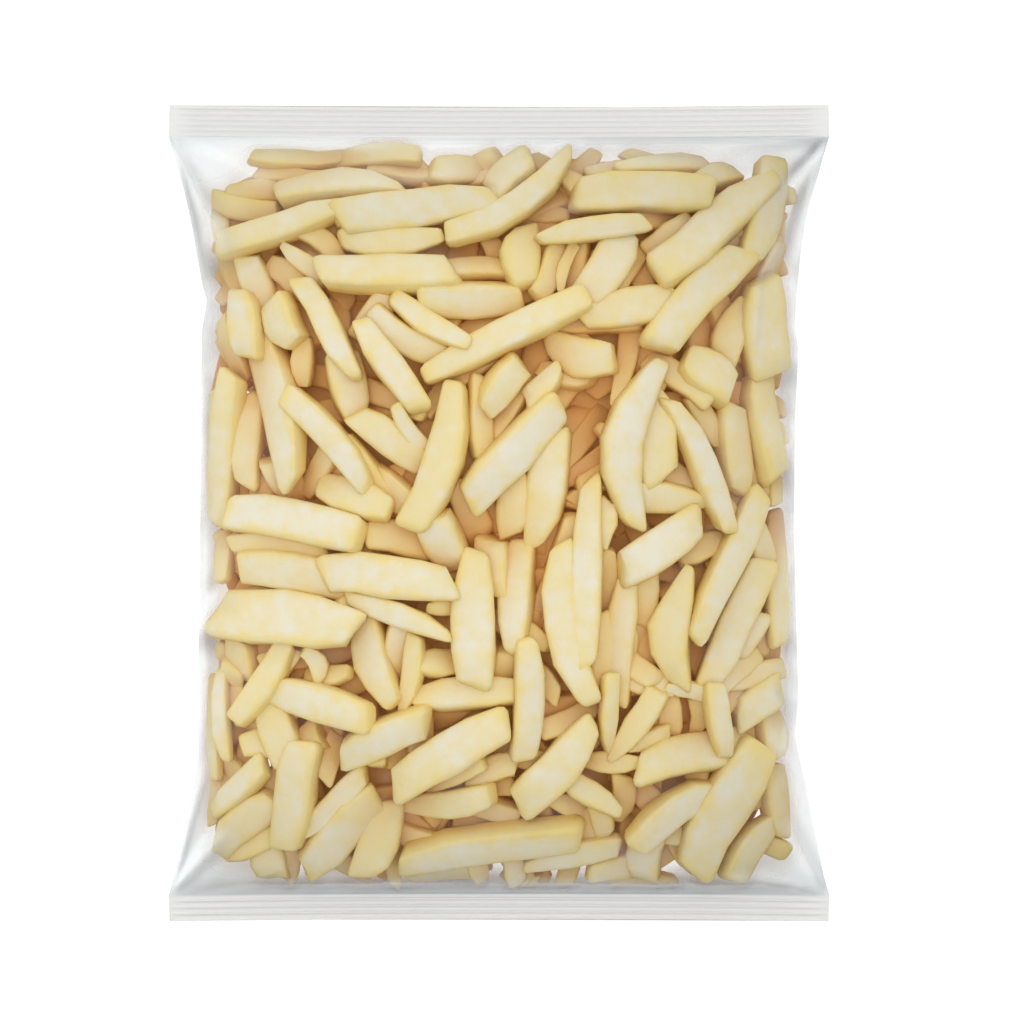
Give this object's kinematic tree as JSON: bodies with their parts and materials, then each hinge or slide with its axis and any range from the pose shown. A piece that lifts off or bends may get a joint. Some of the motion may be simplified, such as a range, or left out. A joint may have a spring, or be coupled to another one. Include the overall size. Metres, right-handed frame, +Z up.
{
  "type": "bag of frozen fries",
  "caption": "Clear film pillow bag with a crimped seal at each end, filled with loose pale thick-cut frozen fries, lying flat with its shown side up.",
  "frame": {"origin": "on the surface the bag lies on, under the middle of the bag", "axes": "+Z up out of the shown side, +Y along the bag towards its deeper seal, +X across it to the right as seen from above"},
  "size_m": [0.265, 0.328, 0.0578],
  "materials": {
    "fries": "pale cream potato, matt, under clear film",
    "clear_film": "clear glossy film with a light white haze, used by the visual model"
  },
  "bodies": {
    "root": {"bag_of_fries": "fries"}
  },
  "joints": []
}
